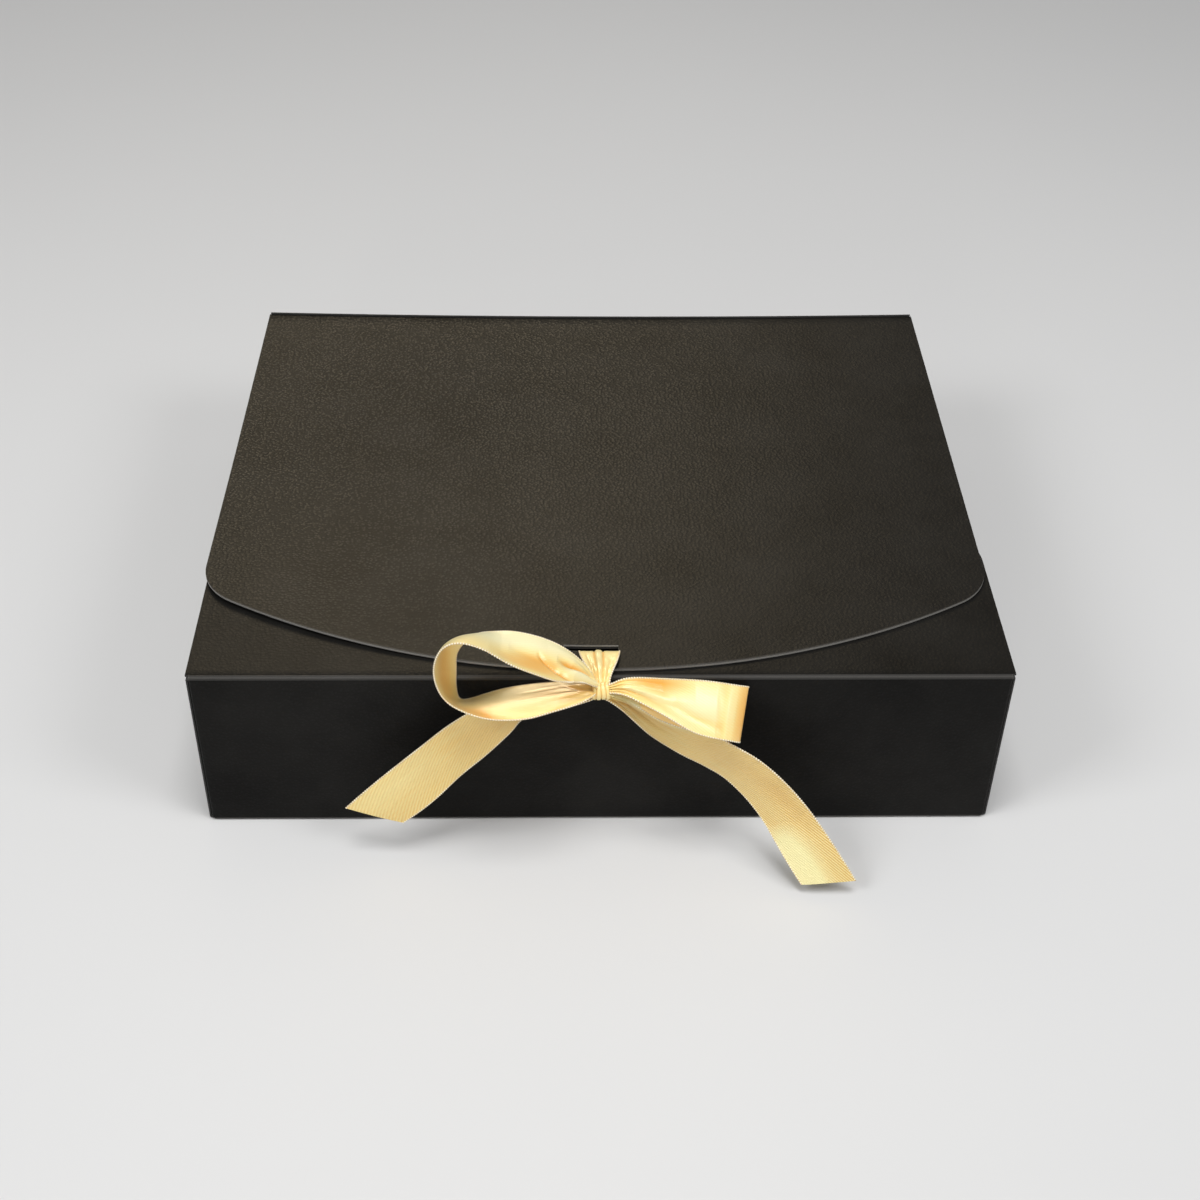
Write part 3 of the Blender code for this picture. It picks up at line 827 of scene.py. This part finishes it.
RIGHT_LOOP = [
    ((2.2, -0.6, 1.2), (0.1, -0.65, -0.75), 2.8),
    ((4.8, -0.9, 2.3), (0.2, -0.65, -0.7), 3.4),
    ((8.7, -2.0, 3.7), (0.2, -0.65, -0.7), 6.2),
    ((14.2, -3.0, 3.0), (0.15, -0.65, -0.75), 9.4),
    ((22.4, -3.9, 0.6), (0.1, -0.65, -0.75), 13.4),
    ((33.2, -4.0, -3.7), (0, -0.65, -0.75), 18.8),
    ((40.5, -3.7, -5.9), (-0.05, -0.65, -0.75), 20.4),
    ((48.6, -3.2, -8.2), (-0.15, -0.65, -0.75), 20.6),
    ((54.4, -0.8, -11.6), (-0.15, -0.6, -0.8), 21.0),
    ((50.8, 1.0, -12.2), (-0.15, -0.5, -0.85), W),
    ((43.5, 1.3, -11.4), (-0.1, -0.4, -0.9), 19.4),
    ((32.3, 0.9, -8.9), (-0.1, -0.35, -0.9), 17.8),
    ((21.2, 0.6, -5.2), (-0.1, -0.35, -0.9), 14.4),
    ((10.8, 0.6, -1.2), (0, -0.4, -0.9), 7.5),
    ((4.5, 0.9, 0.7), (0, -0.6, -0.8), 3.6),
    ((2.2, 0.7, 0.4), (0, -0.65, -0.75), 3.0),
]
LEFT_TAIL = [
    ((-1.4, -0.6, -0.9), (0.2, -0.4, -0.9), 2.6),
    ((-3.6, -0.9, -1.5), (0.2, -0.4, -0.9), 2.8),
    ((-11.0, -1.2, -3.4), (0.2, -0.4, -0.9), 4.4),
    ((-21.5, -1.9, -4.4), (0.3, -0.35, -0.9), 7.0),
    ((-31.5, -3.0, -6.6), (0.6, -0.2, -0.8), 9.0),
    ((-39.0, -3.9, -10.9), (0.7, -0.1, -0.7), 15.6),
    ((-49.2, -4.8, -20.0), (0.7, -0.1, -0.7), 19.0),
    ((-60.3, -5.6, -31.0), (0.75, -0.1, -0.65), 19.6),
    ((-71.0, -6.6, -42.3), (0.8, -0.2, -0.55), 20.4),
    ((-86.3, -8.7, -56.7), (0.95, -0.1, -0.25), 22.5),
]
RIGHT_TAIL = [
    ((1.6, -0.7, -0.8), (0.35, 0.1, 0.9), 3.8),
    ((4.6, -0.8, -2.1), (0.4, 0.1, 0.9), 4.6),
    ((9.5, -0.6, -5.2), (0.35, 0.1, 0.9), 7.5),
    ((15.8, 0.0, -11.3), (0.35, 0.1, 0.9), 10.5),
    ((22.2, 0.2, -17.1), (0.4, 0.05, 0.9), 13.0),
    ((33.5, -0.5, -24.4), (0.4, -0.05, 0.9), 16.5),
    ((44.0, -3.5, -29.4), (0.4, -0.25, 0.9), 19.0),
    ((56.2, -7.8, -35.8), (0.6, -0.3, 0.75), W),
    ((69.9, -15.9, -48.2), (0.75, -0.25, 0.6), W),
    ((87.4, -31.7, -70.3), (1, -0.05, 0.15), 20.5),
]
STATION_STEPS = 40            # steps of the smooth curve between two stations
PATH_STEP_MM = 0.1
BEND_EASE_MM = 1.6            # how far a bend in the stations is smoothed
SELVEDGE_STEP_MM = 0.15
STRAP_BEND_MM = (3.0, 4.0)    # reach behind and in front of the bow's hang axis
PLEAT_START_MM = 4.0          # the pleats fade beyond this distance from the knot
PLEAT_FADE_MM = 9.0
PLEAT_LIMIT_MM = 0.85


def catmull_rom(rows, steps):
    """A smooth curve through the rows, in any number of columns."""
    ends = np.concatenate([[2 * rows[0] - rows[1]], rows, [2 * rows[-1] - rows[-2]]])
    curve = []
    for before, start, end, after in zip(ends, ends[1:], ends[2:], ends[3:]):
        for t in np.arange(steps) / steps:
            curve.append(
                0.5 * (
                    2 * start + (end - before) * t
                    + (2 * before - 5 * start + 4 * end - after) * t ** 2
                    + (3 * start - before - 3 * end + after) * t ** 3
                )
            )
    return np.array(curve + [rows[-1]])


def ease_rows(values, reach):
    """Average each value with its neighbours; the first and last stay in place."""
    count = 3 * reach
    kernel = np.exp(-0.5 * (np.arange(-count, count + 1) / reach) ** 2)
    kernel /= kernel.sum()
    first = 2 * values[:1] - values[count:0:-1]
    last = 2 * values[-1:] - values[-2:-count - 2:-1]
    padded = np.concatenate([first, values, last])
    columns = [np.convolve(padded[:, k], kernel, "valid") for k in range(values.shape[1])]
    return np.stack(columns, 1)


class Band:
    """A ribbon along its stations, with listed folds and with pleats at the knot.

    A fold is (from, to, across at from, across at to, height, width, tint): it runs
    along the band between two shares of its length, at shares of its width, as a
    ridge or, with a negative height, a valley, in mm. A positive tint paints shade
    there, and a negative one paints a highlight. A cup is (from, to, rise): the
    middle of the width stands out, by up to rise in mm. Ridges stand out of a loop;
    face is -1 where the path runs so that its own normal points the other way.
    Weave is how clearly the twill shows at the band's start and at its end. A band
    that returns ends at the knot as well, so it has pleats at both ends.
    """

    def __init__(
        self, stations, folds=(), cup=(), returns=False, pleats=3, gather=1.0, phase=0.0,
        face=1, weave=(1.0, 1.0),
    ):
        rows = []
        for centre, side, width in stations:
            side = np.array(side, float) / np.linalg.norm(side)
            rows.append([*(np.array(centre) + KNOT_CENTRE_MM), *side, width])
        dense = catmull_rom(np.array(rows, float), STATION_STEPS)
        lengths = path_lengths(dense[:, :3])
        self.length = lengths[-1]
        self.s = np.linspace(0, self.length, int(self.length / PATH_STEP_MM) + 1)
        even = np.stack([np.interp(self.s, lengths, dense[:, k]) for k in range(7)], 1)
        reach = int(BEND_EASE_MM / PATH_STEP_MM)
        even = ease_rows(even, reach)
        self.centre, self.side, self.width = even[:, :3], even[:, 3:6], even[:, 6]
        self.side /= np.linalg.norm(self.side, axis=1, keepdims=True)
        along = np.gradient(self.centre, axis=0)
        normal = np.cross(along, self.side)
        normal /= np.linalg.norm(normal, axis=1, keepdims=True)
        self.normal = face * ease_rows(normal, reach)
        self.folds, self.cup, self.returns, self.weave = folds, cup, returns, weave
        self.pleats, self.gather, self.phase = pleats, gather, phase

    def at(self, values, s):
        """Values at distances s along the band."""
        if values.ndim == 1:
            return np.interp(s, self.s, values)
        return np.stack([np.interp(s, self.s, values[:, k]) for k in range(3)], -1)

    def relief(self, s, t):
        """Height above the smooth band, and the painted light at each point: shade where positive,
        a highlight where negative.
        """
        width = self.at(self.width, s)[:, None]
        share = (s / self.length)[:, None]
        from_knot = np.minimum(s, self.length - s) if self.returns else s
        spare = np.sqrt(np.maximum(RIBBON_MM / width - 1, 0))
        fade = np.exp(-np.maximum(from_knot - PLEAT_START_MM, 0) / PLEAT_FADE_MM)[:, None]
        fade = fade * self.gather
        size = np.minimum(width / (math.pi * self.pleats) * spare, PLEAT_LIMIT_MM) * fade
        wander = self.phase + 0.5 * np.sin(share * 23 + self.phase)
        wave = 2 * math.pi * self.pleats * t[None, :] + wander
        height = size * (np.sin(wave) + 0.25 * np.sin(2.3 * wave + 1.0))
        # Painted shade in the pleats' valleys.
        shade_and_highlight = 0.35 * fade * (0.5 - 0.5 * np.sin(wave))
        # Each fold's tint paints shade where positive and a highlight where negative.
        for start, end, t_start, t_end, rise, spread_mm, tint in self.folds:
            along = (share - start) / (end - start)
            window = np.sin(math.pi * np.clip(along, 0, 1)) ** 0.8
            centre = t_start + (t_end - t_start) * along
            away = (t[None, :] - centre) * width / spread_mm
            bump = window * np.exp(-0.5 * away ** 2)
            height = height + rise * bump
            shade_and_highlight = shade_and_highlight + tint * bump
        for start, end, rise in self.cup:
            window = np.sin(math.pi * np.clip((share - start) / (end - start), 0, 1))
            height = height + rise * window * (1 - (2 * t[None, :] - 1) ** 2)
        return height, np.clip(shade_and_highlight, -1, 1)

    def points(self, s, t):
        """Points on the band at distances s and shares t of its width, in mm."""
        centre, side, normal = (self.at(v, s) for v in (self.centre, self.side, self.normal))
        width = self.at(self.width, s)[:, None, None]
        height, shade_and_highlight = self.relief(s, t)
        placed = centre[:, None] + side[:, None] * width * (t[None, :, None] - 0.5)
        return placed + normal[:, None] * height[..., None], shade_and_highlight


# Folds: from and to, as shares of the length; across at each, as shares of the width;
# height, width in mm; tint: painted shade where positive, painted highlight where negative.
STRAP_SHAPE = dict(
    stations=STRAP,
    folds=(
        (-0.4, 1.6, 0.47, 0.47, 0.6, 1.1, -0.3),
        (-0.3, 1.5, 0.34, 0.38, -0.55, 0.32, 0.95),
        (-0.3, 1.5, 0.61, 0.57, -0.55, 0.32, 0.95),
        (-0.2, 0.8, 0.22, 0.16, -0.35, 0.5, 0.35),
        (-0.2, 0.6, 0.78, 0.84, -0.35, 0.5, 0.35),
    ),
    pleats=3, gather=0.25, phase=0.6, face=-1,
)
LEFT_LOOP_SHAPE = dict(
    stations=LEFT_LOOP,
    folds=(
        (0.04, 0.46, 0.05, 0.30, 0.0, 6.0, -1.3),
        (0.09, 0.33, 0.62, 0.84, -1.3, 4.6, 0.90),
        (0.13, 0.28, 0.50, 0.50, -1.0, 2.2, 0.70),
        (0.09, 0.20, 1.00, 0.38, -1.2, 0.7, 1.2),
        (-0.03, 0.14, 0.74, 0.66, 1.6, 1.6, -1.0),
        (0.015, 0.14, 0.54, 0.38, -1.8, 1.2, 1.8),
        (-0.02, 0.17, 0.25, 0.16, 0.6, 1.8, -0.2),
        (0.10, 0.36, 0.97, 0.97, 0.0, 1.2, -0.5),
        (0.36, 0.66, 0.40, 0.45, 0.3, 4.0, 0.50),
        (0.38, 0.66, 0.00, 0.00, 0.0, 2.0, -0.6),
        (0.90, 1.01, 0.14, 0.62, 0.6, 0.6, 0.40),
        (0.80, 0.95, 0.28, 0.18, 0.25, 0.5, 0.15),
        (0.68, 0.99, 0.50, 0.58, -0.7, 4.0, 0.0),
        (0.62, 0.92, 0.82, 0.94, 0.5, 3.6, 0.95),
        (0.62, 0.86, 0.22, 0.30, 0.0, 4.5, -0.6),
        (0.66, 1.02, 0.60, 0.64, 0.0, 7.0, 0.40),
    ),
    cup=((0.30, 0.52, 1.5), (0.38, 0.68, 1.3)),
    returns=True, pleats=3, gather=0.5, phase=0.3,
)
RIGHT_LOOP_SHAPE = dict(
    stations=RIGHT_LOOP,
    folds=(
        (0.07, 0.31, 0.12, 0.22, -1.0, 2.6, 1.0),
        (0.01, 0.24, 0.40, 0.58, 1.2, 1.5, -0.6),
        (0.02, 0.20, 0.68, 0.80, -0.8, 0.7, 0.60),
        (0.02, 0.13, 0.22, 0.30, -0.5, 0.6, 0.40),
        (0.20, 0.46, 0.45, 0.48, 0.8, 4.2, -0.8),
        (0.20, 0.43, 0.60, 0.84, -0.5, 1.2, 0.40),
        (0.385, 0.425, 0.50, 0.50, -0.35, 9.0, 0.45),
        (0.45, 0.55, 0.50, 0.50, 0.0, 12.0, 0.90),
        (0.55, 0.99, 0.95, 0.95, 0.0, 6.0, 0.35),
    ),
    returns=True, pleats=4, gather=0.8, phase=1.2, face=-1,
)
LEFT_TAIL_SHAPE = dict(
    stations=LEFT_TAIL,
    folds=((0.28, 0.62, 0.70, 0.55, 0.0, 5.0, 0.25), (0.60, 1.10, 0.20, 0.30, 0.0, 5.0, -0.35)),
    cup=((0.35, 1.2, 0.6),), pleats=3, phase=0.2, weave=(0.2, 0.55),
)
RIGHT_TAIL_SHAPE = dict(
    stations=RIGHT_TAIL,
    folds=(
        (-0.10, 0.30, 0.30, 0.40, -0.8, 0.8, 0.5),
        (-0.10, 0.36, 0.66, 0.78, 1.2, 1.3, -1.0),
        (0.04, 0.30, 0.50, 0.55, -0.6, 0.6, 0.5),
        (0.28, 0.72, 0.55, 0.70, 0.0, 5.0, 0.30),
        (0.76, 1.16, 0.20, 0.10, 0.7, 5.0, -2.0),
        (0.58, 0.84, 0.70, 0.80, -0.3, 3.0, 0.35),
    ),
    cup=((0.3, 1.3, 0.7),), pleats=4, phase=0.9, weave=(0.1, 1.2),
)


def tube_mesh(name, line, radius, sides=6):
    """A round cord of varying radius along a line of points, closed at its ends."""
    along = np.gradient(line, axis=0)
    along /= np.linalg.norm(along, axis=1, keepdims=True)
    first = np.cross(along, (0.13, 0.31, 0.94))
    first /= np.linalg.norm(first, axis=1, keepdims=True)
    second = np.cross(along, first)
    angles = 2 * math.pi * np.arange(sides) / sides
    cosine, sine = (wave(angles)[None, :, None] for wave in (np.cos, np.sin))
    ring = cosine * first[:, None] + sine * second[:, None]
    points = line[:, None] + ring * radius[:, None, None]
    around = 2 * math.pi * SELVEDGE_RADIUS_MM * np.arange(sides + 1) / sides
    uv = np.stack(np.meshgrid(around, path_lengths(line)), -1)
    mesh = grid_mesh(name, points, uv, wrap=(False, True))

    def close_ends(bm):
        bm.verts.ensure_lookup_table()
        bm.faces.new([bm.verts[k] for k in range(sides)])
        bm.faces.new([bm.verts[len(bm.verts) - 1 - k] for k in range(sides)])
        face_outwards(bm)

    edit_mesh(mesh, close_ends)
    return mesh


def build_band(name, band, body, materials, columns=30, step_mm=0.4, bend=None):
    """The woven band and its two beaded selvedges."""
    s = np.linspace(0, band.length, int(band.length / step_mm))
    t = np.linspace(0, 1, columns + 1)
    points, shade_and_highlight = band.points(s, t)
    uv = np.stack(np.meshgrid(t * RIBBON_MM, s), -1)
    mesh = grid_mesh(name, points, uv)
    set_attribute(mesh, "fold", shade_and_highlight)
    change = smoothstep(s / band.length, 0.2, 0.8)
    show = band.weave[0] + (band.weave[1] - band.weave[0]) * change
    set_attribute(mesh, "weave", np.repeat(show, len(t)))
    piece = add_piece(name, mesh, materials)
    thicken(piece, RIBBON_THICK_MM, 0, 1, 0)
    pieces = [piece]
    fine = np.linspace(0, band.length, int(band.length / SELVEDGE_STEP_MM))
    edges, _ = band.points(fine, np.array([0.0, 1.0]))
    beads = np.abs(np.sin(math.pi * fine / PICOT_PITCH_MM))
    radius = SELVEDGE_RADIUS_MM + PICOT_HEIGHT_MM * beads
    for k, side in enumerate(("first", "second")):
        label = f"{name}_selvedge_{side}"
        pieces.append(add_piece(label, tube_mesh(label, edges[:, k], radius), (SELVEDGE,)))
    for item in pieces:
        if bend:
            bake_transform(item)
        else:
            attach(item, body)
    return piece


def build_ribbon():
    """The strap stays where it lies; loops and tails ride on the bow."""
    axis = next(j for j in frame["joints"] if j["name"] == "bow_hang")["pos_m"]
    start = (axis[0], axis[1] + STRAP_BEND_MM[0] * MM, axis[2])
    end = (axis[0], axis[1] - STRAP_BEND_MM[1] * MM, axis[2])
    strap = build_band(
        "strap_ribbon", Band(**STRAP_SHAPE), None, (SATIN, SATIN), columns=60, step_mm=0.3,
        bend=("strap", "bow", start, end),
    )
    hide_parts("ribbon_strap")
    for node, shape, skin in (
        ("left_loop", LEFT_LOOP_SHAPE, SATIN),
        ("right_loop", RIGHT_LOOP_SHAPE, SATIN),
        ("left_tail", LEFT_TAIL_SHAPE, MATTE),
        ("right_tail", RIGHT_TAIL_SHAPE, MATTE),
    ):
        piece = build_band(f"{node}_ribbon", Band(**shape), "bow", (skin, skin))
        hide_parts(node)


# --- Knot ---
KNOT_WIDTH_MM = 6.9
KNOT_RADII_MM = (2.6, 3.3)        # front to back and up, before it leans
KNOT_TILT = math.radians(-40)
KNOT_WALL_MM = 1.1
KNOT_HOLLOW_INSET_MM = 1.2        # the hollow is this much narrower than the wrap
KNOT_PLEATS = 4
KNOT_STEPS = 120                  # points round the knot
KNOT_COLUMNS = 61                 # points across it


def build_knot():
    """A pleated band wrapped once round, as a closed ring."""
    angles = 2 * math.pi * np.arange(KNOT_STEPS) / KNOT_STEPS
    t = np.linspace(0, 1, KNOT_COLUMNS)
    phi, across = np.meshgrid(angles, t, indexing="ij")
    wander = 0.35 * np.sin(phi * 2 + across * 5) + 0.2 * np.sin(phi * 3 + 1.3)
    valley = (1 - np.abs(np.sin(math.pi * KNOT_PLEATS * across + wander))) ** 3
    rounding = np.abs(2 * across - 1) ** 7
    out = -0.62 * valley - 0.95 * rounding + 0.12 * np.sin(across * 9 + phi)
    pinch = 1 - 0.06 * np.cos(phi * 2) - 0.05 * np.sin(phi)

    def ring(x, out):
        """Points round the knot, out from its plain oval."""
        deep, high = KNOT_RADII_MM
        return np.stack([x, np.cos(phi) * (deep + out), np.sin(phi) * (high + out)], -1)

    skin = ring((across - 0.5) * KNOT_WIDTH_MM * pinch, out)
    back = across[:, ::-1]
    inner = ring((back - 0.5) * (KNOT_WIDTH_MM - KNOT_HOLLOW_INSET_MM), -KNOT_WALL_MM)
    points = np.concatenate([skin, inner[:, ::6]], 1)
    tilt = np.array(Matrix.Rotation(KNOT_TILT, 3, "X"))
    points = points @ tilt.T + KNOT_CENTRE_MM
    rows, columns = points.shape[:2]
    around = np.arange(rows + 1) / rows * math.pi * sum(KNOT_RADII_MM)
    uv = np.stack(np.meshgrid(np.linspace(0, 2 * RIBBON_MM, columns + 1), around), -1)
    mesh = grid_mesh("knot_wrap", points, uv, wrap=(True, True))
    # Painted shade: the pleats' valleys and the whole hollow inside the wrap get the satin's deep
    # orange.
    shade_and_highlight = np.concatenate([valley * 0.7, np.ones((rows, columns - valley.shape[1]))], 1)
    set_attribute(mesh, "fold", shade_and_highlight)
    edit_mesh(mesh, face_outwards)
    piece = add_piece("knot_wrap", mesh, (SATIN,))
    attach(piece, "bow")
    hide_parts("bow_knot")


# --- Stage ---
CAMERA_PLACE = (-0.01754, -0.61844, 0.51980)
CAMERA_YAW = math.radians(1.857)       # to the right of straight ahead
CAMERA_PITCH = math.radians(39.75)     # below the horizon
CAMERA_ROLL = math.radians(-1.152)
CAMERA_LENS_MM = 53.2
FLOOR_DROP = 0.0003
FLOOR_SIZE = 12
SOFTBOX_SIZE = (0.6, 0.6)
WARM = (1.0, 0.82, 0.54)
FILL_WHITE = (1.0, 0.96, 0.90)
FILL_RADIUS = 0.15
FILL_SPREAD = math.radians(24)
BOW_FRONT = (0, -0.165, 0.045)         # what the fill light points at
WORLD_STRENGTH = 0.24


def build_camera():
    yaw, pitch, roll = CAMERA_YAW, CAMERA_PITCH, CAMERA_ROLL
    reach = math.cos(pitch)
    ahead = Vector((math.sin(yaw) * reach, math.cos(yaw) * reach, -math.sin(pitch)))
    level = Vector((math.cos(yaw), -math.sin(yaw), 0))
    down = ahead.cross(level)
    right = level * math.cos(roll) + down * math.sin(roll)
    down = down * math.cos(roll) - level * math.sin(roll)
    data = bpy.data.cameras.new("camera")
    data.lens = CAMERA_LENS_MM
    data.clip_start = 0.01
    camera = new_object("camera", data)
    rotation = Matrix((right, -down, -ahead)).transposed()
    camera.matrix_world = Matrix.Translation(CAMERA_PLACE) @ rotation.to_4x4()
    bpy.context.scene.camera = camera


def add_light(name, kind, place, power, target, colour):
    """A light that points from its place at its target."""
    data = bpy.data.lights.new(name, kind)
    data.energy = power
    data.color = colour
    light = new_object(name, data)
    light.location = place
    light.rotation_euler = (Vector(place) - Vector(target)).to_track_quat("Z", "Y").to_euler()
    return light


def add_softbox(name, place, size, power, target=(0, 0, 0.03), colour=(1, 1, 1), diffuse=True):
    """A soft rectangular light; without diffuse it shows only as a reflection."""
    light = add_light(name, "AREA", place, power, target, colour)
    light.data.shape = "RECTANGLE"
    light.data.size, light.data.size_y = size
    light.visible_diffuse = diffuse


def build_stage():
    bpy.ops.mesh.primitive_plane_add(size=FLOOR_SIZE, location=(0, 0, -FLOOR_DROP))
    floor = bpy.context.object
    floor.name = "floor"
    floor.data.materials.append(floor_material())
    add_softbox("softbox_top", (0.0, -0.36, 1.7), SOFTBOX_SIZE, 13.5)
    add_softbox("softbox_left", (-1.0, -0.64, 1.15), SOFTBOX_SIZE, 8.3)
    add_softbox("softbox_right", (1.0, -0.64, 1.15), SOFTBOX_SIZE, 6.9)
    add_softbox("reflector_back", (-0.25, 1.40, 1.36), (0.9, 0.8), 31, colour=WARM, diffuse=False)
    fill = add_light("fill_front", "SPOT", (-0.25, -1.25, 0.42), 9.4, BOW_FRONT, FILL_WHITE)
    fill.data.shadow_soft_size = FILL_RADIUS
    fill.data.spot_size = FILL_SPREAD
    fill.data.spot_blend = 1.0         # faded all the way to its rim
    world = bpy.data.worlds.new("studio")
    world.use_nodes = True
    sky = {"Color": (1, 1, 1, 1), "Strength": WORLD_STRENGTH}
    set_inputs(world.node_tree, world.node_tree.nodes["Background"], sky)
    bpy.context.scene.world = world
    bpy.context.scene.view_settings.view_transform = "Standard"


# --- Assembly ---
build_end_wall("front_wall", -1, FLAP_HIGH[2] - FLAP_CREASE_RADIUS_MM)
build_end_wall("back_wall", 1, LID_HIGH[2] - CREASE_RADIUS_MM)
build_base_crease("front_base_crease", -1)
build_base_crease("back_base_crease", 1)
build_side(1, "right")
build_side(-1, "left")
build_lid()
build_lid_crease()
build_flap()
build_flap_crease()
dress_frame_nodes()
build_ribbon()
build_knot()
build_camera()
build_stage()
